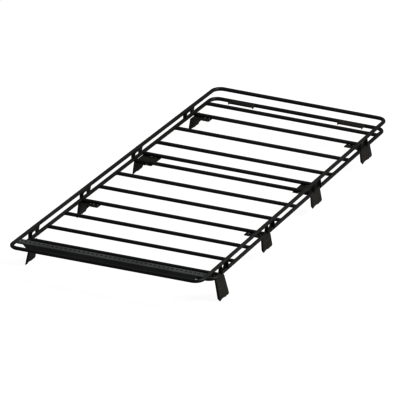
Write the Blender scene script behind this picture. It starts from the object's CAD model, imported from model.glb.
"""The look of the roof cargo rack: fine round tube, folded sheet with real bend radii, round holes, weld beads and
flanged bolts, all in satin black powder coat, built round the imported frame. Metres, +X right, +Y tail, +Z up."""

import math

import bmesh
import bpy
from mathutils import Matrix, Vector, noise


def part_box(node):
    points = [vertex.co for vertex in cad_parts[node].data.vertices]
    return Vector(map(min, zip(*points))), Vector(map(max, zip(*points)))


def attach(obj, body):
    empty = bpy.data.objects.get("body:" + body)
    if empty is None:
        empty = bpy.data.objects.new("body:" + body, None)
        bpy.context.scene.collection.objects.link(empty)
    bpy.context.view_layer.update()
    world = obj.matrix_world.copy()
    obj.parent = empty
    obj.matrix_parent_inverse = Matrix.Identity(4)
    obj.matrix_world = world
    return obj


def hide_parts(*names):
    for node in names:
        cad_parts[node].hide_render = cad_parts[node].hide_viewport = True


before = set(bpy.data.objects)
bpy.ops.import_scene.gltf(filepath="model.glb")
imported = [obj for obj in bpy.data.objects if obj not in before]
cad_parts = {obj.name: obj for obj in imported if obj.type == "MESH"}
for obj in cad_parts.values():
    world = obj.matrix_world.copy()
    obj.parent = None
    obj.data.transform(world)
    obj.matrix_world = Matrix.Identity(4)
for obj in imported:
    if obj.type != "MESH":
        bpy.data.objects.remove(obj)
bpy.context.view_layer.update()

# ------------------------------------------------------------------ sizes, from the frame
R = 0.0127
WALL = 0.0020
TAPER = 0.02537
HALF_MID = 0.6965
UPPER_INSET = 0.0020


def mid(node):
    lo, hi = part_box(node)
    return (lo + hi) / 2


DECK_Z = mid("deck_bar_02").z
BARS = ["deck_bar_%02d" % k for k in range(1, 13)]
BAR_Y = [mid(n).y for n in BARS]
LOWER_FRONT_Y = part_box("lower_rail_front")[0].y + R
LOWER_REAR_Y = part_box("lower_rail_rear")[1].y - R
UPPER_FRONT_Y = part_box("upper_rail_front")[0].y + R
UPPER_REAR_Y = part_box("upper_rail_rear")[1].y - R
SPLICE_Y = (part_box("lower_rail_front")[1].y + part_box("lower_rail_rear")[0].y) / 2
LOWER_RADIUS = 0.060
UPPER_RADIUS = 0.064
UPPER_FRONT_Z = DECK_Z + 0.0707
UPPER_REAR_Z = DECK_Z + 0.0594
BRACKET_Y = (-1.1975, -0.4105, 0.3825, 1.1775)
STRIP_Y0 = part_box("light_bar")[0].y
STRIP_Y1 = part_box("light_bar")[1].y
STRIP_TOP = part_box("light_bar")[1].z
LEGS = (
    dict(y=-1.2605, v0=-0.036, v1=0.118, v1t=0.095, top=-0.014, tip=0.0215, depth=0.1850, hv=0.036, row=0.1035, a0=-0.047, a1=0.012, lip=0.014, rear=0.028, fin=0.036, cut=0.024),
    dict(y=-0.4725, v0=-0.057, v1=0.092, v1t=0.080, top=-0.002, tip=0.0105, depth=0.1205, hv=0.0145, row=0.082, a0=-0.047, a1=0.012, lip=0.012, rear=0.018, fin=0.016, cut=0.010),
    dict(y=0.3910, v0=-0.074, v1=0.084, v1t=0.076, top=-0.007, tip=0.0065, depth=0.1175, hv=0.0, row=0.0815, a0=-0.082, a1=0.082, lip=0.010, rear=0.018, fin=0.016, cut=0.010),
    dict(y=1.2365, v0=-0.066, v1=0.097, v1t=0.089, top=-0.0115, tip=0.0045, depth=0.1145, hv=0.005, row=0.080, a0=-0.048, a1=0.012, lip=0.011, rear=0.018, fin=0.016, cut=0.010),
)
LEG_SHEET = 0.0035
GAP = 0.0003
ARM_LENGTH = 0.147
ANG = math.atan(TAPER)
ALONG = Vector((-math.sin(ANG), math.cos(ANG), 0))
OUT = Vector((math.cos(ANG), math.sin(ANG), 0))
ROOT = "rack_frame"


def half_width(y, inset=0.0):
    return HALF_MID - inset - TAPER * y


def upper_z(y):
    f = (y - UPPER_FRONT_Y) / (UPPER_REAR_Y - UPPER_FRONT_Y)
    return UPPER_FRONT_Z + (UPPER_REAR_Z - UPPER_FRONT_Z) * f


# ------------------------------------------------------------------ materials
def powder_coat(name, colour, rough, spec, peel, wear, dust):
    """Satin powder coat: colour and gloss drift, orange-peel and grain bump, worn edges and a little dust on top."""
    m = bpy.data.materials.new(name)
    m.use_nodes = True
    nt = m.node_tree
    N, L = nt.nodes, nt.links
    bsdf = N["Principled BSDF"]

    def add(kind, **inputs):
        n = N.new(kind)
        for k, v in inputs.items():
            n.inputs[k.replace("_", " ")].default_value = v
        return n

    co = N.new("ShaderNodeTexCoord")

    def noise_at(scale, detail, rough_=0.55):
        n = add("ShaderNodeTexNoise", Scale=scale, Detail=detail, Roughness=rough_)
        L.new(co.outputs["Object"], n.inputs["Vector"])
        return n

    def ramp(src, a, b, lo, hi):
        n = N.new("ShaderNodeMapRange")
        n.inputs["From Min"].default_value = a
        n.inputs["From Max"].default_value = b
        n.inputs["To Min"].default_value = lo
        n.inputs["To Max"].default_value = hi
        L.new(src, n.inputs["Value"])
        return n.outputs["Result"]

    def mixc(fac, a, b):
        n = N.new("ShaderNodeMix")
        n.data_type = "RGBA"
        if isinstance(fac, float):
            n.inputs[0].default_value = fac
        else:
            L.new(fac, n.inputs[0])
        for sock, val in ((n.inputs[6], a), (n.inputs[7], b)):
            if isinstance(val, tuple):
                sock.default_value = (*val, 1)
            else:
                L.new(val, sock)
        return n.outputs[2]

    def math_(op, a, b, clamp=False):
        n = N.new("ShaderNodeMath")
        n.operation = op
        n.use_clamp = clamp
        for i, v in enumerate((a, b)):
            if isinstance(v, (int, float)):
                n.inputs[i].default_value = v
            else:
                L.new(v, n.inputs[i])
        return n.outputs[0]

    broad = noise_at(5.0, 3.0)
    blotch = noise_at(60.0, 4.0)
    grain = noise_at(900.0, 2.0)
    fine = noise_at(2600.0, 1.0)
    dark = tuple(c * 0.72 for c in colour)
    light = tuple(c * 1.30 for c in colour)
    base = mixc(ramp(broad.outputs["Fac"], 0.35, 0.65, 0.0, 1.0), dark, light)
    base = mixc(ramp(blotch.outputs["Fac"], 0.30, 0.70, 0.0, 0.35), base, colour)
    speck = ramp(fine.outputs["Fac"], 0.60, 0.78, 0.0, 0.30)
    base = mixc(speck, base, tuple(min(1.0, c * 2.2) for c in colour))

    geo = N.new("ShaderNodeNewGeometry")
    bevel = N.new("ShaderNodeBevel")
    bevel.samples = 4
    bevel.inputs["Radius"].default_value = 0.0011
    dot = N.new("ShaderNodeVectorMath")
    dot.operation = "DOT_PRODUCT"
    L.new(bevel.outputs["Normal"], dot.inputs[0])
    L.new(geo.outputs["True Normal"], dot.inputs[1])
    edge = ramp(dot.outputs["Value"], 0.97, 0.80, 0.0, 1.0)
    scuff = ramp(noise_at(140.0, 5.0, 0.7).outputs["Fac"], 0.46, 0.66, 0.0, 1.0)
    worn = math_("MULTIPLY", math_("MULTIPLY", edge, scuff), wear, True)
    base = mixc(worn, base, (0.19, 0.185, 0.18))

    sep = N.new("ShaderNodeSeparateXYZ")
    L.new(geo.outputs["Normal"], sep.inputs[0])
    up = ramp(sep.outputs["Z"], 0.55, 0.95, 0.0, dust)
    dusty = math_("MULTIPLY", up, ramp(noise_at(22.0, 6.0, 0.65).outputs["Fac"], 0.40, 0.75, 0.15, 1.0), True)
    base = mixc(dusty, base, (0.30, 0.29, 0.27))
    L.new(base, bsdf.inputs["Base Color"])

    gloss = ramp(blotch.outputs["Fac"], 0.30, 0.70, rough - 0.07, rough + 0.09)
    gloss = math_("ADD", gloss, math_("MULTIPLY", dusty, 0.4), True)
    gloss = math_("SUBTRACT", gloss, math_("MULTIPLY", worn, 0.12), True)
    L.new(gloss, bsdf.inputs["Roughness"])
    L.new(math_("MULTIPLY", worn, 0.7), bsdf.inputs["Metallic"])
    bsdf.inputs["Specular IOR Level"].default_value = spec

    b1 = N.new("ShaderNodeBump")
    b1.inputs["Strength"].default_value = peel
    b1.inputs["Distance"].default_value = 0.00025
    L.new(grain.outputs["Fac"], b1.inputs["Height"])
    b2 = N.new("ShaderNodeBump")
    b2.inputs["Strength"].default_value = peel * 0.6
    b2.inputs["Distance"].default_value = 0.00012
    L.new(fine.outputs["Fac"], b2.inputs["Height"])
    L.new(b1.outputs["Normal"], b2.inputs["Normal"])
    L.new(b2.outputs["Normal"], bsdf.inputs["Normal"])
    return m


TUBE_COAT = powder_coat("tube_powder_coat", (0.0138, 0.0138, 0.0129), 0.46, 0.36, 0.30, 0.35, 0.020)
SHEET_COAT = powder_coat("sheet_powder_coat", (0.0245, 0.0225, 0.0182), 0.52, 0.34, 0.40, 0.55, 0.020)
BAR_COAT = powder_coat("light_bar_powder_coat", (0.0640, 0.0665, 0.0675), 0.48, 0.38, 0.35, 0.45, 0.030)
WELD_COAT = powder_coat("weld_powder_coat", (0.0145, 0.0140, 0.0135), 0.40, 0.40, 0.20, 0.10, 0.010)


def bolt_finish():
    """Black zinc on a rolled bolt: metallic, streaked round the axis, brighter where a socket has rubbed."""
    m = powder_coat("bolt_black_zinc", (0.040, 0.040, 0.043), 0.36, 0.5, 0.12, 0.9, 0.0)
    m.node_tree.links.remove(m.node_tree.nodes["Principled BSDF"].inputs["Metallic"].links[0])
    m.node_tree.nodes["Principled BSDF"].inputs["Metallic"].default_value = 0.85
    return m


BOLT = bolt_finish()


# ------------------------------------------------------------------ making pieces
def mirror(bm):
    for v in bm.verts:
        v.co.x = -v.co.x
    bmesh.ops.reverse_faces(bm, faces=bm.faces[:])


def piece(name, bm, mat, body=ROOT, stands_for=(), angle=38.0, round_edges=0.0):
    bmesh.ops.recalc_face_normals(bm, faces=bm.faces[:])
    if bm.calc_volume(signed=True) < 0:
        bmesh.ops.reverse_faces(bm, faces=bm.faces[:])
    bad = sum(1 for e in bm.edges if len(e.link_faces) != 2)
    if bad:
        print("OPEN EDGES", name, bad)
    me = bpy.data.meshes.new(name)
    bm.to_mesh(me)
    bm.free()
    me.materials.append(mat)
    me.shade_smooth()
    me.set_sharp_from_angle(angle=math.radians(angle))
    ob = bpy.data.objects.new(name, me)
    bpy.context.scene.collection.objects.link(ob)
    if round_edges:
        b = ob.modifiers.new("edge", "BEVEL")
        b.width = round_edges
        b.segments = 2
        b.limit_method = "ANGLE"
        b.angle_limit = math.radians(50)
        b.use_clamp_overlap = True
    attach(ob, body)
    if stands_for:
        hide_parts(*stands_for)
    return ob


def ring_pts(radius, n):
    return [(radius * math.cos(2 * math.pi * k / n), radius * math.sin(2 * math.pi * k / n)) for k in range(n)]


SIDES = 40


def sweep(path):
    """Hollow tube along (point, tangent), with slightly eased ends."""
    bm = bmesh.new()
    rings = []
    for p, t in path:
        side = t.cross(Vector((0, 0, 1))).normalized()
        up = side.cross(t).normalized()
        rings.append([[bm.verts.new(p + side * a + up * b) for a, b in ring_pts(rad, SIDES)] for rad in (R, R - WALL)])
    n = SIDES
    for r0, r1 in zip(rings, rings[1:]):
        for k in range(n):
            j = (k + 1) % n
            bm.faces.new((r0[0][k], r0[0][j], r1[0][j], r1[0][k]))
            bm.faces.new((r0[1][j], r0[1][k], r1[1][k], r1[1][j]))
    for ring in (rings[0], rings[-1]):
        for k in range(n):
            j = (k + 1) % n
            bm.faces.new((ring[0][j], ring[0][k], ring[1][k], ring[1][j]))
    return bm


def hoop_corner(sx, y_end, radius, inset, z_of, steps=18):
    corner = Vector((sx * half_width(y_end, inset), y_end))
    side_dir = Vector((-sx * TAPER, 1.0)).normalized()
    if y_end > 0:
        side_dir = -side_dir
    end_dir = Vector((-sx, 0.0))
    angle = math.acos(max(-1, min(1, side_dir.dot(end_dir))))
    cut = radius / math.tan(angle / 2)
    start = corner + side_dir * cut
    stop = corner + end_dir * cut
    centre = start + Vector((-side_dir.y, side_dir.x)) * radius
    if (centre - stop).length > radius * 1.01:
        centre = start - Vector((-side_dir.y, side_dir.x)) * radius
    a0 = math.atan2(start.y - centre.y, start.x - centre.x)
    a1 = math.atan2(stop.y - centre.y, stop.x - centre.x)
    d = (a1 - a0 + math.pi) % (2 * math.pi) - math.pi
    pts = []
    for k in range(steps + 1):
        a = a0 + d * k / steps
        p = centre + Vector((math.cos(a), math.sin(a))) * radius
        t = Vector((-math.sin(a), math.cos(a))) * (1 if d > 0 else -1)
        pts.append((Vector((p.x, p.y, z_of(p.y))), Vector((t.x, t.y, 0)).normalized()))
    return pts


def half_hoop(y_end, y_stop, radius, inset, z_of):
    def straight(sx, sign):
        p = Vector((sx * half_width(y_stop, inset), y_stop, z_of(y_stop)))
        return p, Vector((-sx * TAPER, 1.0, 0)).normalized() * sign

    left = hoop_corner(-1, y_end, radius, inset, z_of)
    right = hoop_corner(1, y_end, radius, inset, z_of)
    sign = -1 if y_end < y_stop else 1
    path = [straight(-1, sign)] + left + [(p, -t) for p, t in reversed(right)] + [straight(1, -sign)]
    return sweep(path)


def deck_bar(y):
    """Cross tube, its ends coped to the side tubes."""
    clear = R + 0.0002
    bm = bmesh.new()
    rings = []
    for sx in (-1, 1):
        ring = []
        for rad in (R, R - WALL):
            loop = []
            for a, b in ring_pts(rad, SIDES):
                x = half_width(y + a) - math.sqrt(max(clear * clear - b * b, 0)) / math.cos(ANG)
                loop.append(bm.verts.new((sx * x, y + a, DECK_Z + b)))
            ring.append(loop)
        rings.append(ring)
    for k in range(SIDES):
        j = (k + 1) % SIDES
        bm.faces.new((rings[0][0][k], rings[0][0][j], rings[1][0][j], rings[1][0][k]))
        bm.faces.new((rings[0][1][j], rings[0][1][k], rings[1][1][k], rings[1][1][j]))
    for ring in rings:
        for k in range(SIDES):
            j = (k + 1) % SIDES
            bm.faces.new((ring[0][j], ring[0][k], ring[1][k], ring[1][j]))
    return bm


# ------------------------------------------------------------------ weld beads
def add_bead(bm, pts, r, closed=False, pitch=0.0030, normal=None):
    """A rippled bead along pts, as one closed body. Open beads taper at their ends."""
    total = [0.0]
    loop = pts + [pts[0]] if closed else pts
    for p, q in zip(loop, loop[1:]):
        total.append(total[-1] + (q - p).length)
    n = max(8, int(total[-1] / (pitch / 3.0)))
    out = []
    for k in range(n if closed else n + 1):
        s = total[-1] * k / n
        i = 0
        while i < len(total) - 2 and total[i + 1] < s:
            i += 1
        f = (s - total[i]) / max(total[i + 1] - total[i], 1e-9)
        out.append((loop[i].lerp(loop[i + 1], f), s))
    m = 8
    rings = []
    for k, (p, s) in enumerate(out):
        if closed:
            t = (out[(k + 1) % len(out)][0] - out[k - 1][0]).normalized()
        else:
            t = (out[min(k + 1, len(out) - 1)][0] - out[max(k - 1, 0)][0]).normalized()
        ref = normal or Vector((0, 0, 1))
        if abs(t.dot(ref)) > 0.95:
            ref = Vector((0, 1, 0)) if abs(t.y) < 0.9 else Vector((1, 0, 0))
        side = t.cross(ref).normalized()
        up = side.cross(t).normalized()
        rr = r * (0.86 + 0.20 * abs(math.sin(math.pi * s / pitch)) + 0.10 * noise.noise(p * 180))
        if not closed:
            rr *= min(1.0, 0.35 + min(k, len(out) - 1 - k) / 3.0)
        rings.append([bm.verts.new(p + side * rr * math.cos(2 * math.pi * j / m) + up * rr * math.sin(2 * math.pi * j / m)) for j in range(m)])
    pairs = list(zip(rings, rings[1:]))
    if closed:
        pairs.append((rings[-1], rings[0]))
    for r0, r1 in pairs:
        for j in range(m):
            q = (j + 1) % m
            bm.faces.new((r0[j], r0[q], r1[q], r1[j]))
    if not closed:
        bm.faces.new(list(reversed(rings[0])))
        bm.faces.new(rings[-1])


def cope_line(y, sx, n=40, open_below=False):
    pts = []
    for k in range(n + 1 if open_below else n):
        th = math.radians(-38) + math.radians(256) * k / n if open_below else 2 * math.pi * k / n
        a, b = (R + 0.0004) * math.cos(th), (R + 0.0004) * math.sin(th)
        x = half_width(y + a) - math.sqrt(max((R + 0.0008) ** 2 - b * b, 0.0060**2)) / math.cos(ANG)
        pts.append(Vector((sx * x, y + a, DECK_Z + b)))
    return pts


def ring_line(p, t, rad, n=36):
    side = t.cross(Vector((0, 0, 1))).normalized()
    up = side.cross(t).normalized()
    return [p + side * a + up * b for a, b in ring_pts(rad, n)]


# ------------------------------------------------------------------ folded sheet
def disc(ca, cb, r, n=24, phase=0.13):
    return [(ca + r * math.cos(2 * math.pi * k / n + phase), cb + r * math.sin(2 * math.pi * k / n + phase)) for k in range(n)]


def stadium(ca, cb, length, width, along_a=True, n=8):
    r = width / 2
    s = length / 2 - r
    pts = []
    for k in range(n + 1):
        a = -math.pi / 2 + math.pi * k / n
        pts.append((s + r * math.cos(a), r * math.sin(a)))
    for k in range(n + 1):
        a = math.pi / 2 + math.pi * k / n
        pts.append((-s + r * math.cos(a), r * math.sin(a)))
    if not along_a:
        pts = [(-b, a) for a, b in pts]
    return [(ca + a, cb + b) for a, b in pts]


def arch(p0, p1, sag, n=16):
    out = []
    dx, dy = p1[0] - p0[0], p1[1] - p0[1]
    length = math.hypot(dx, dy)
    nx, ny = -dy / length, dx / length
    for k in range(1, n):
        f = k / n
        h = sag * 4 * f * (1 - f)
        out.append((p0[0] + dx * f + nx * h, p0[1] + dy * f + ny * h))
    return out


def soften(pts, radii):
    """Rounds the named corners of an outline: radii maps index to radius."""
    out = []
    n = len(pts)
    for i, p in enumerate(pts):
        r = radii.get(i, 0.0)
        if not r:
            out.append(p)
            continue
        a = Vector(pts[i - 1]) - Vector(p)
        b = Vector(pts[(i + 1) % n]) - Vector(p)
        la, lb = a.length, b.length
        a.normalize()
        b.normalize()
        half = math.acos(max(-1, min(1, a.dot(b)))) / 2
        d = min(r / math.tan(half), la * 0.45, lb * 0.45)
        p0, p1, c = Vector(p) + a * d, Vector(p) + b * d, Vector(p)
        for k in range(6):
            f = k / 5
            q = p0 * (1 - f) ** 2 + c * 2 * f * (1 - f) + p1 * f * f
            out.append((q.x, q.y))
    return out


def fold(s, d, lo, hi):
    """Flat sheet coordinate s and depth d to profile (p, q). lo and hi are (s at the bend's start, outer radius, angle) or None."""
    if hi and s > hi[0]:
        s0, ro, ang = hi
        phi = min((s - s0) / ro, ang)
        rest = s - s0 - ro * phi
        return (s0 + (ro - d) * math.sin(phi) + rest * math.cos(ang), ro - (ro - d) * math.cos(phi) + rest * math.sin(ang))
    if lo and s < lo[0]:
        s0, ro, ang = lo
        phi = min((s0 - s) / ro, ang)
        rest = s0 - s - ro * phi
        return (s0 - (ro - d) * math.sin(phi) - rest * math.cos(ang), ro - (ro - d) * math.cos(phi) + rest * math.sin(ang))
    return s, d


def folded_sheet(outline, holes, thick, place, lo=None, hi=None, steps=6, shift=None, cells=None):
    """Closed sheet-metal body from a flat blank. place(p, q, b) gives the world point. A long blank comes as cells."""
    flat = bmesh.new()
    for line, inner in cells or [(outline, holes)]:
        edges = []
        for pts in [line] + list(inner):
            vs = [flat.verts.new((a, b, 0)) for a, b in pts]
            for p, q in zip(vs, vs[1:] + vs[:1]):
                edges.append(flat.edges.new((p, q)))
        bmesh.ops.triangle_fill(flat, use_beauty=True, use_dissolve=False, edges=edges)
    bmesh.ops.remove_doubles(flat, verts=flat.verts[:], dist=2e-6)
    for bend, sign in ((lo, -1), (hi, 1)):
        if bend:
            s0, ro, ang = bend
            for k in range(steps + 1):
                bmesh.ops.bisect_plane(flat, geom=flat.verts[:] + flat.edges[:] + flat.faces[:], dist=1e-7, plane_co=(s0 + sign * ro * ang * k / steps, 0, 0), plane_no=(1, 0, 0))
    bmesh.ops.remove_doubles(flat, verts=flat.verts[:], dist=2e-6)
    bm = bmesh.new()
    front, back = {}, {}
    for v in flat.verts:
        s, b = v.co.x, v.co.y
        extra = shift(s, b) if shift else 0.0
        p, q = fold(s, 0.0, lo, hi)
        front[v] = bm.verts.new(place(p + extra, q, b))
        p, q = fold(s, thick, lo, hi)
        back[v] = bm.verts.new(place(p + extra, q, b))
    for f in flat.faces:
        bm.faces.new([front[v] for v in f.verts])
        bm.faces.new([back[v] for v in reversed(f.verts)])
    for e in flat.edges:
        if len(e.link_faces) == 1:
            p, q = e.verts
            bm.faces.new((front[p], front[q], back[q], back[p]))
    flat.free()
    return bm


# ------------------------------------------------------------------ tubes
def flat_z(y):
    return DECK_Z


piece("lower_rail_front_tube", half_hoop(LOWER_FRONT_Y, SPLICE_Y - 0.0001, LOWER_RADIUS, 0.0, flat_z), TUBE_COAT, stands_for=["lower_rail_front"])
piece("lower_rail_rear_tube", half_hoop(LOWER_REAR_Y, SPLICE_Y + 0.0001, LOWER_RADIUS, 0.0, flat_z), TUBE_COAT, stands_for=["lower_rail_rear"])
piece("upper_rail_front_tube", half_hoop(UPPER_FRONT_Y, SPLICE_Y - 0.0001, UPPER_RADIUS, UPPER_INSET, upper_z), TUBE_COAT, stands_for=["upper_rail_front"])
piece("upper_rail_rear_tube", half_hoop(UPPER_REAR_Y, SPLICE_Y + 0.0001, UPPER_RADIUS, UPPER_INSET, upper_z), TUBE_COAT, stands_for=["upper_rail_rear"])
for name, y in zip(BARS, BAR_Y):
    piece(name + "_tube", deck_bar(y), TUBE_COAT, stands_for=[name])

# welds round every deck-bar end, and the dressed splices of the hoops
for name, y in zip(BARS, BAR_Y):
    bm = bmesh.new()
    for sx in (-1, 1):
        clear_below = min(abs(y - leg["y"]) for leg in LEGS) < 0.010 or name in ("deck_bar_07", "deck_bar_08")
        add_bead(bm, cope_line(y, sx, open_below=clear_below), 0.0019, closed=not clear_below)
    piece(name + "_weld", bm, WELD_COAT, angle=60)
bm = bmesh.new()
for sx in (-1, 1):
    for inset, z in ((0.0, DECK_Z), (UPPER_INSET, upper_z(SPLICE_Y))):
        p = Vector((sx * half_width(SPLICE_Y, inset), SPLICE_Y, z))
        ring = ring_line(p, Vector((-sx * TAPER, 1, 0)).normalized(), R - 0.0002)
        if inset == 0.0:  # ground flush underneath, where the third pair of legs slides
            ring = ring_line(p, Vector((-sx * TAPER, 1, 0)).normalized(), R - 0.0002, 72)
            ring = [q for q in ring[-8:] + ring[:45] if q.z > DECK_Z - 0.008]
            ring.sort(key=lambda q: math.atan2(q.z - p.z, q.x - p.x) if math.atan2(q.z - p.z, q.x - p.x) > -1.2 else math.atan2(q.z - p.z, q.x - p.x) + 2 * math.pi)
        add_bead(bm, ring, 0.0013, closed=inset != 0.0, pitch=0.0024)
piece("rail_splice_weld", bm, WELD_COAT, angle=60)

# ------------------------------------------------------------------ brackets
B_LEN, B_SHEET, B_DEPTH, B_U0 = 0.112, 0.004, 0.0284, -0.0115


def bracket(y, sx, side, k):
    base = Vector((half_width(y), y, DECK_Z))
    rise = upper_z(y) - DECK_Z
    slope = (UPPER_REAR_Z - UPPER_FRONT_Z) / (UPPER_REAR_Y - UPPER_FRONT_Y)
    h = B_LEN / 2
    z0, z1 = 0.0078, rise - 0.0082
    pts = [(-h - 0.010, z0), (h + 0.010, z0)]
    pts += arch((h + 0.010, z0), (h + 0.010, z1), 0.0105, 20)
    pts += [(h + 0.010, z1), (-h - 0.010, z1)]
    pts += arch((-h - 0.010, z1), (-h - 0.010, z0), 0.0105, 20)

    def place(p, q, b):
        return base + ALONG * p + OUT * (B_U0 + q) + Vector((0, 0, b + slope * p * b / rise))

    bm = folded_sheet(pts, [stadium(-0.012, rise / 2, 0.078, 0.024, n=16)], B_SHEET, place)
    if sx < 0:
        mirror(bm)
    node = "rail_bracket_%s_%d" % (side, k)
    piece(node + "_web", bm, SHEET_COAT, stands_for=[node], round_edges=0.0006)
    for end in (-1, 1):
        top = rise + slope * end * h
        low, high = [], []
        steps = 18
        u_in, u_edge = B_U0 + 0.0020, R + 0.0002
        for i in range(steps + 1):
            u = u_in + (u_edge - u_in) * i / steps
            low.append((u, math.sqrt(max((R + 0.0002) ** 2 - u * u, 0.0))))
            w = u + UPPER_INSET
            high.append((u, top - math.sqrt(max((R + 0.0002) ** 2 - w * w, 0.0))))
        u_out = B_U0 + B_DEPTH
        corner = [(u_out, low[-1][1] + 0.0008), (u_out, top * 0.45), (u_out - 0.004, top - 0.0008)]
        outline = low + soften([low[-1], corner[0], corner[1], corner[2], high[-1]], {1: 0.003, 3: 0.003})[1:-1] + list(reversed(high))

        def wall(p, q, b, end=end):
            return base + ALONG * (end * h - end * (0.0005 + q)) + OUT * p + Vector((0, 0, b))

        bm = folded_sheet(outline, [], B_SHEET, wall)
        if sx < 0:
            mirror(bm)
        piece("%s_wall_%s" % (node, "front" if end < 0 else "rear"), bm, SHEET_COAT, round_edges=0.0006)
    bm = bmesh.new()
    for z_of, u, dz in ((lambda a: 0.0, B_U0 - 0.0004, 0.0074), (lambda a: rise + slope * a, B_U0 - 0.0004, -0.0078)):
        for a0, a1 in ((-0.060, -0.034), (-0.013, 0.013), (0.034, 0.060)):
            line = [base + ALONG * a + OUT * u + Vector((0, 0, z_of(a) + dz)) for a in (a0, a1)]
            add_bead(bm, line, 0.0016)
    for end in (-1, 1):
        for outward in (0, 1):
            a = end * h - end * (0.0005 if outward == 0 else B_SHEET + 0.0005)
            for which in (0, 1):
                line = []
                for i in range(9):
                    u = -0.004 + 0.0155 * i / 8
                    if which == 0:
                        line.append(base + ALONG * a + OUT * u + Vector((0, 0, math.sqrt(max((R + 0.0006) ** 2 - u * u, 0)))))
                    else:
                        w = u + UPPER_INSET
                        line.append(base + ALONG * a + OUT * u + Vector((0, 0, rise + slope * a - math.sqrt(max((R + 0.0006) ** 2 - w * w, 0)))))
                add_bead(bm, line, 0.0013)
    if sx < 0:
        mirror(bm)
    piece(node + "_weld", bm, WELD_COAT, angle=60)


for k, y in enumerate(BRACKET_Y):
    for sx, side in ((1, "right"), (-1, "left")):
        bracket(y, sx, side, k + 1)


# ------------------------------------------------------------------ legs
def leg_frame(leg):
    y = leg["y"]
    base = Vector((half_width(y), y, DECK_Z))
    top_z = -(R + GAP + 0.0002)
    run = leg["tip"] - leg["top"]
    drop = leg["depth"] + top_z
    for _ in range(6):
        drop = leg["depth"] + top_z - LEG_SHEET * run / math.hypot(run, drop)
    length = math.hypot(run, drop)
    down = (OUT * run + Vector((0, 0, -drop))) / length
    normal = down.cross(ALONG)
    if normal.dot(OUT) < 0:
        normal = -normal
    return base, down, normal, length, top_z


def bolt_spots(leg):
    if leg["a1"] - leg["a0"] > 0.1:
        return [(-0.088, -0.0675), (-0.088, 0.0675)]
    return [(-0.056, 0.0), (-0.112, 0.0)]


def build_leg(leg, sx, side, k):
    base, down, normal, L, top_z = leg_frame(leg)
    origin = base + OUT * leg["top"] + Vector((0, 0, top_z))
    node = "leg_%s_%d" % (side, k)
    body = node + "_body"
    ro = 0.0055
    turn = math.radians(52)
    v0, v1, v1t = leg["v0"] + 0.0004, leg["v1"], leg["v1t"]
    sA = v0 + ro
    sB = v1 - ro * math.tan(turn / 2)
    sF = sA - ro * math.pi / 2 - (leg["lip"] + 0.003 - ro)
    sT = sA - ro * math.pi / 2 - (leg["lip"] - 0.0025 - ro)
    sR = sB + ro * turn + 0.0175
    a = v0 + (v1 - v0) * 0.60
    b = v0 + (v1 - v0) * 0.90
    f0 = sA - ro * math.pi / 2
    pts = [(sT, 0.0022), (sF, L - 0.018), (f0, L - 0.0045), (sA - ro * 0.75, L)]
    pts += arch((sA - ro * 0.75, L), (a, L - 0.0005), -0.0068, 20)
    pts.append((a, L - 0.0005))
    pts += arch((a, L - 0.0005), (b, L - 0.001), -0.0025, 10)
    foot = L - leg["fin"]
    start = (sB + ro * turn * 0.5, foot + 0.003) if leg["fin"] < 0.02 else (sB + 0.0008, foot)
    pts += [(b, L - 0.001), (sB - 0.0002, L - 0.0075), start, (sR, foot - 0.020)]
    pts += [(sR, leg["rear"] + 0.012), (sB + ro * turn, leg["rear"]), (sB, leg["cut"] + 0.001), (sB - 0.009 - 1.4 * leg["cut"], 0.0022), (f0, 0.0022)]
    n = len(pts)
    pts = soften(pts, {0: 0.003, 1: 0.003, n - 7: 0.004, n - 6: 0.004, n - 5: 0.003, n - 3: 0.003, n - 2: 0.004})
    slope = -down.z
    low = (leg["row"] + top_z) / slope
    holes = [disc(leg["hv"] + i * 0.034, low - j * 0.028, 0.0045, 32) for i in (-1, 0, 1) for j in (0, 1)]
    s1 = leg["hv"] + 0.038

    def shift(s, b):
        f = max(0.0, min(1.0, (s - s1) / (sB - s1)))
        return -(v1 - v1t) * (1 - min(b / (L - 0.012), 1.0)) * f * f * (3 - 2 * f)

    def place(p, q, b):
        return origin + ALONG * p + down * b - normal * q

    bm = folded_sheet(pts, holes, LEG_SHEET, place, lo=(sA, ro, math.pi / 2), hi=(sB, ro, turn), steps=8, shift=shift)
    if sx < 0:
        mirror(bm)
    piece(node + "_plate", bm, SHEET_COAT, body, stands_for=[node], round_edges=0.0006)

    a0, a1 = leg["a0"], leg["a1"]
    u1 = leg["top"] - 0.0022
    wide0 = leg["v0"] + 0.0050
    pts = [(-ARM_LENGTH, a0), (-0.080, a0), (-0.040, wide0 + 0.001), (u1, wide0)]
    if wide0 > a0:
        pts = [(-ARM_LENGTH, a0), (u1 - 0.020, a0), (u1, wide0)]
    pts += [(u1, a1 + 0.014), (u1 - 0.010, a1)] if a1 < 0.05 else [(u1, a1)]
    pts.append((-ARM_LENGTH, a1))
    pts = soften(pts, {0: 0.006, len(pts) - 1: 0.006, 1: 0.012})
    slots = [stadium(u, v, 0.0502, 0.0092, n=10) for u, v in bolt_spots(leg)]

    def arm_place(p, q, b):
        return base + OUT * p + ALONG * b + Vector((0, 0, top_z - 0.0001 - q))

    bm = folded_sheet(pts, slots, LEG_SHEET, arm_place)
    if sx < 0:
        mirror(bm)
    piece(node + "_arm", bm, SHEET_COAT, body, stands_for=[node], round_edges=0.0006)

    bm = bmesh.new()
    inner = leg["top"] - LEG_SHEET + (leg["tip"] - leg["top"]) * 0.004 / L
    z = top_z - 0.0001 - LEG_SHEET - 0.0006
    ends = (max(wide0 + 0.006, a0), (a1 + 0.010) if a1 < 0.05 else a1 - 0.006)
    line = [base + OUT * (inner - 0.0006) + ALONG * v + Vector((0, 0, z)) for v in ends]
    add_bead(bm, line, 0.0022)
    if sx < 0:
        mirror(bm)
    piece(node + "_weld", bm, WELD_COAT, body, angle=60)


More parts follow.
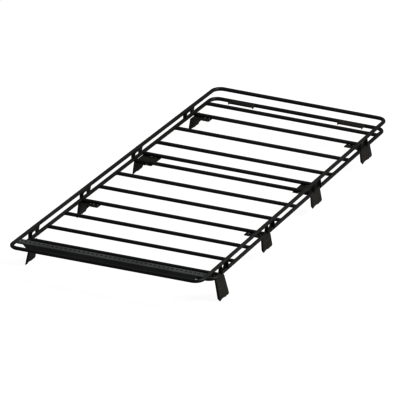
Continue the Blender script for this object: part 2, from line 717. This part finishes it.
def bolt(node, x, y):
    """Flanged hexagon bolt with a domed, chamfered head and a plain shank."""
    arm_bottom = DECK_Z - R - GAP - 0.0003 - LEG_SHEET
    zf = arm_bottom - GAP
    z1 = zf - 0.0016
    z2 = z1 - 0.0055
    n = 48
    apothem = 0.0065

    def ring(bm, fn, z):
        out = []
        for k in range(n):
            th = 2 * math.pi * k / n
            r = fn(th)
            out.append(bm.verts.new((x + r * math.cos(th), y + r * math.sin(th), z)))
        return out

    def hexa(th):
        a = (th + math.pi / 6) % (math.pi / 3) - math.pi / 6
        return apothem / math.cos(a)

    bm = bmesh.new()
    prof = [
        (lambda t: 0.0030, z2 + 0.0004),
        (lambda t: min(hexa(t) * 0.93, 0.0060), z2),
        (lambda t: min(hexa(t), 0.0067), z2 + 0.0004),
        (lambda t: hexa(t), z2 + 0.0011),
        (lambda t: hexa(t), z1 - 0.0006),
        (lambda t: hexa(t) + 0.0006, z1 - 0.0001),
        (lambda t: 0.0094, z1 + 0.0002),
        (lambda t: 0.0100, z1 + 0.0007),
        (lambda t: 0.0100, zf - 0.0002),
        (lambda t: 0.0097, zf),
        (lambda t: 0.0040, zf),
        (lambda t: 0.0040, DECK_Z - 0.0053),
        (lambda t: 0.0032, DECK_Z - 0.0045),
    ]
    rings = [ring(bm, fn, z) for fn, z in prof]
    for r0, r1 in zip(rings, rings[1:]):
        for k in range(n):
            j = (k + 1) % n
            bm.faces.new((r0[k], r0[j], r1[j], r1[k]))
    bm.faces.new(list(reversed(rings[0])))
    bm.faces.new(rings[-1])
    piece(node + "_head", bm, BOLT, ROOT, stands_for=[node], angle=28)


for k, leg in enumerate(LEGS):
    for sx, side in ((1, "right"), (-1, "left")):
        build_leg(leg, sx, side, k + 1)
        for i in "ab":
            node = "leg_bolt_%s_%d%s" % (side, k + 1, i)
            c = mid(node)
            bolt(node, c.x, c.y)


# ------------------------------------------------------------------ light bar
def light_bar():
    ro = 0.0060
    sheet = 0.003
    y1 = STRIP_Y1

    def edge_x(y):
        return half_width(y, UPPER_INSET) - (R + 0.0002) / math.cos(ANG)

    width = y1 - STRIP_Y0
    s0 = width - ro  # where the front bend starts, measured forward from the rear edge
    arc = ro * math.pi / 2
    lip, web, rear = 0.0088, 0.051, 0.030
    s_rear = ro - arc - (rear - ro)

    def s_of_drop(z):
        return s0 + arc + (z - ro)

    xe = edge_x(STRIP_Y0) - 0.0006
    xr = edge_x(y1) - 0.0006
    xt = edge_x(STRIP_Y0) - 0.051
    xb = xt - 0.0366
    pitch = 0.0342
    cs = width / 2 - 0.003
    b0 = 18 * pitch
    end = [
        (s_rear, b0),
        (s_rear, xr),
        (ro - arc, xr),
        (ro, edge_x(y1 - ro)),
        (s0, edge_x(STRIP_Y0 + ro)),
        (s0 + arc, xe),
        (s_of_drop(lip), xe),
        (s_of_drop(lip), xt + 0.004),
        (s_of_drop(lip + 0.004), xt - 0.002),
        (s_of_drop(web), xb),
        (s_of_drop(web), b0),
    ]
    end = soften(end, {1: 0.004, 6: 0.002, 7: 0.005, 8: 0.005, 9: 0.005})

    def slot(k):
        return stadium(cs, (k - 20.5) * pitch, 0.023, 0.0105, along_a=(k % 2 == 1), n=8)

    # the blank in (s, x): s runs from the rear lip's edge across the flange and down the web
    cells = [
        ([(s_rear, (k - 21) * pitch), (s_rear, (k - 20) * pitch), (s_of_drop(web), (k - 20) * pitch), (s_of_drop(web), (k - 21) * pitch)], [slot(k)])
        for k in range(3, 39)
    ]
    cells.append((end, [slot(k) for k in (39, 40, 41)]))
    cells.append(([(a, -b) for a, b in end], [slot(k) for k in (0, 1, 2)]))

    def place(p, q, b):
        return Vector((b, y1 - p, STRIP_TOP - q))

    bm = folded_sheet(None, None, sheet, place, lo=(ro, ro, math.pi / 2), hi=(s0, ro, math.pi / 2), steps=8, cells=cells)
    piece("light_bar_sheet", bm, BAR_COAT, stands_for=["light_bar"], round_edges=0.0005)
    bm = bmesh.new()
    for sx in (-1, 1):
        for dz, da in ((0.0003, 0.0), (-sheet - 0.0003, 0.0)):
            for y0, y2 in ((STRIP_Y0 + 0.008, STRIP_Y0 + 0.028), (y1 - 0.026, y1 - 0.004)):
                line = [Vector((sx * (edge_x(y) - 0.0002), y, STRIP_TOP + dz)) for y in (y0, y2)]
                add_bead(bm, line, 0.0016)
    piece("light_bar_weld", bm, WELD_COAT, angle=60)


light_bar()


# ------------------------------------------------------------------ accessory plates
def accessory_plate(node, sx):
    lo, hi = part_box(node)
    x0, x1 = (lo.x, hi.x) if sx > 0 else (-hi.x, -lo.x)
    y0, y1 = lo.y, hi.y
    z_top = hi.z
    sheet, ro = 0.003, 0.0048
    sA, sB = x0 + ro, x1 - ro
    arc = ro * math.pi / 2
    tab = 0.017 - ro

    def side(sign):
        s_edge = sB if sign > 0 else sA
        pts = [
            (s_edge + sign * arc, y1 - 0.012),
            (s_edge + sign * (arc + 0.011 - ro), y1 - 0.014),
            (s_edge + sign * (arc + tab), y0 + 0.016),
            (s_edge + sign * (arc + tab), y0 + 0.0012),
        ]
        return pts

    right = [(sB, y1), (sB + arc * 0.45, y1 - 0.002)] + side(1)
    left = [(sA, y1), (sA - arc * 0.45, y1 - 0.002)] + side(-1)
    pts = right + list(reversed(left))
    pts = soften(pts, {4: 0.003, 5: 0.002, 6: 0.002, 7: 0.003})
    holes = [disc(x0 + dx, y0 + 0.020, 0.0042, 28) for dx in (0.020, 0.052, x1 - x0 - 0.052, x1 - x0 - 0.020)]

    def place(p, q, b):
        return Vector((p, b, z_top - q))

    bm = folded_sheet(pts, holes, sheet, place, lo=(sA, ro, math.pi / 2), hi=(sB, ro, math.pi / 2), steps=6)
    if sx < 0:
        mirror(bm)
    piece(node + "_sheet", bm, SHEET_COAT, stands_for=[node], round_edges=0.0005)

    # the front lip: bent down along the front edge, with rounded lower corners
    low = 0.0085
    pts = soften([(x0 + 0.0050, -0.0016), (x1 - 0.0050, -0.0016), (x1 - 0.0050, -low), (x0 + 0.0050, -low)], {2: 0.003, 3: 0.003})

    def place_lip(p, q, b):
        return Vector((p, y0 + 0.0002 + q, z_top + b))

    bm = folded_sheet(pts, [], sheet, place_lip)
    if sx < 0:
        mirror(bm)
    piece(node + "_front_lip", bm, SHEET_COAT, stands_for=[node], round_edges=0.0012)
    bm = bmesh.new()
    for xa in (x0 + 0.018, (x0 + x1) / 2 - 0.011, x1 - 0.040):
        y = y1 + 0.0001
        line = [Vector((xa, y, z_top - sheet - 0.0002)), Vector((xa + 0.022, y, z_top - sheet - 0.0002))]
        add_bead(bm, line, 0.0015)
    if sx < 0:
        mirror(bm)
    piece(node + "_weld", bm, WELD_COAT, angle=60)


accessory_plate("accessory_plate_right", 1)
accessory_plate("accessory_plate_left", -1)

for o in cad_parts.values():
    if not o.hide_render:
        print("NODE STILL SHOWN", o.name)

# ------------------------------------------------------------------ floor, light and camera
sc = bpy.context.scene
sc.view_settings.view_transform = "Standard"
sc.view_settings.look = "None"
sc.view_settings.gamma = 0.65
bpy.ops.mesh.primitive_plane_add(size=60, location=(0, 0, -0.0008))
floor = bpy.context.active_object
floor.name = "floor"
fm = bpy.data.materials.new("pale_floor")
fm.use_nodes = True
nt = fm.node_tree
fb = nt.nodes["Principled BSDF"]
fb.inputs["Base Color"].default_value = (0.055, 0.055, 0.055, 1)
fb.inputs["Roughness"].default_value = 0.95
fb.inputs["Specular IOR Level"].default_value = 0.1
em = nt.nodes.new("ShaderNodeEmission")
em.inputs["Color"].default_value = (1, 1, 1, 1)
em.inputs["Strength"].default_value = 0.945
add = nt.nodes.new("ShaderNodeAddShader")
lp = nt.nodes.new("ShaderNodeLightPath")
mixs = nt.nodes.new("ShaderNodeMixShader")
dark = nt.nodes.new("ShaderNodeBsdfDiffuse")
dark.inputs["Color"].default_value = (0.34, 0.34, 0.34, 1)
nt.links.new(fb.outputs[0], add.inputs[0])
nt.links.new(em.outputs[0], add.inputs[1])
nt.links.new(lp.outputs["Is Camera Ray"], mixs.inputs[0])
nt.links.new(dark.outputs[0], mixs.inputs[1])
nt.links.new(add.outputs[0], mixs.inputs[2])
gm = nt.nodes.new("ShaderNodeNewGeometry")
clear = nt.nodes.new("ShaderNodeBsdfTransparent")
under = nt.nodes.new("ShaderNodeMixShader")
nt.links.new(gm.outputs["Backfacing"], under.inputs[0])
nt.links.new(mixs.outputs[0], under.inputs[1])
nt.links.new(clear.outputs[0], under.inputs[2])
nt.links.new(under.outputs[0], nt.nodes["Material Output"].inputs["Surface"])
floor.data.materials.append(fm)

world = bpy.data.worlds.new("studio")
sc.world = world
world.use_nodes = True
wn = world.node_tree
bg = wn.nodes["Background"]
bg.inputs[0].default_value = (1, 1, 1, 1)
bg.inputs[1].default_value = 0.32
cam_bg = wn.nodes.new("ShaderNodeBackground")
cam_bg.inputs[0].default_value = (1, 1, 1, 1)
cam_bg.inputs[1].default_value = 1.0
wl = wn.nodes.new("ShaderNodeLightPath")
wm = wn.nodes.new("ShaderNodeMixShader")
wn.links.new(wl.outputs["Is Camera Ray"], wm.inputs[0])
wn.links.new(bg.outputs[0], wm.inputs[1])
wn.links.new(cam_bg.outputs[0], wm.inputs[2])
wn.links.new(wm.outputs[0], wn.nodes["World Output"].inputs["Surface"])


def area(name, where, aim, size, power):
    l = bpy.data.lights.new(name, "AREA")
    l.shape = "DISK"
    l.size = size
    l.energy = power
    o = bpy.data.objects.new(name, l)
    sc.collection.objects.link(o)
    o.location = where
    o.rotation_mode = "QUATERNION"
    o.rotation_quaternion = (Vector(aim) - Vector(where)).to_track_quat("-Z", "Y")
    return o


area("key", (6.0, 1.5, 5.0), (0, 0, 0.15), 4.0, 810)
area("top", (0.5, 1.0, 7.0), (0, 0, 0.15), 5.0, 210)
area("left_fill", (-6.0, -3.0, 3.5), (0, 0, 0.15), 4.0, 106)

az, el = math.radians(25.44), math.radians(23.08)
S = 0.1441  # picture elements per millimetre
right = Vector((math.cos(az), math.sin(az), 0))
up = Vector((-math.sin(az) * math.sin(el), math.cos(az) * math.sin(el), math.cos(el)))
look = Vector((-math.sin(az) * math.cos(el), math.cos(az) * math.cos(el), -math.sin(el)))
aim = Vector((0, 0, DECK_Z)) + right * (-2.8 / S / 1000) + up * (-7.3 / S / 1000)
cam = bpy.data.cameras.new("camera")
cam.type = "ORTHO"
cam.ortho_scale = 400 / S / 1000
cam.clip_start = 0.5
cam.clip_end = 400
dist = 20.0
co = bpy.data.objects.new("camera", cam)
sc.collection.objects.link(co)
m = Matrix((right, up, -look)).transposed().to_4x4()
m.translation = aim - look * dist
co.matrix_world = m
sc.camera = co

# the frame is set for this distance, and widens to hold the whole rack when the camera is moved close to it
drv = cam.driver_add("ortho_scale").driver
drv.type = "SCRIPTED"
for n in "XYZ":
    var = drv.variables.new()
    var.name = n.lower()
    var.type = "TRANSFORMS"
    var.targets[0].id = co
    var.targets[0].transform_type = "LOC_" + n
    var.targets[0].transform_space = "WORLD_SPACE"
drv.expression = "%.6f if x * x + y * y + z * z > 225 else 3.7" % (400 / S / 1000)
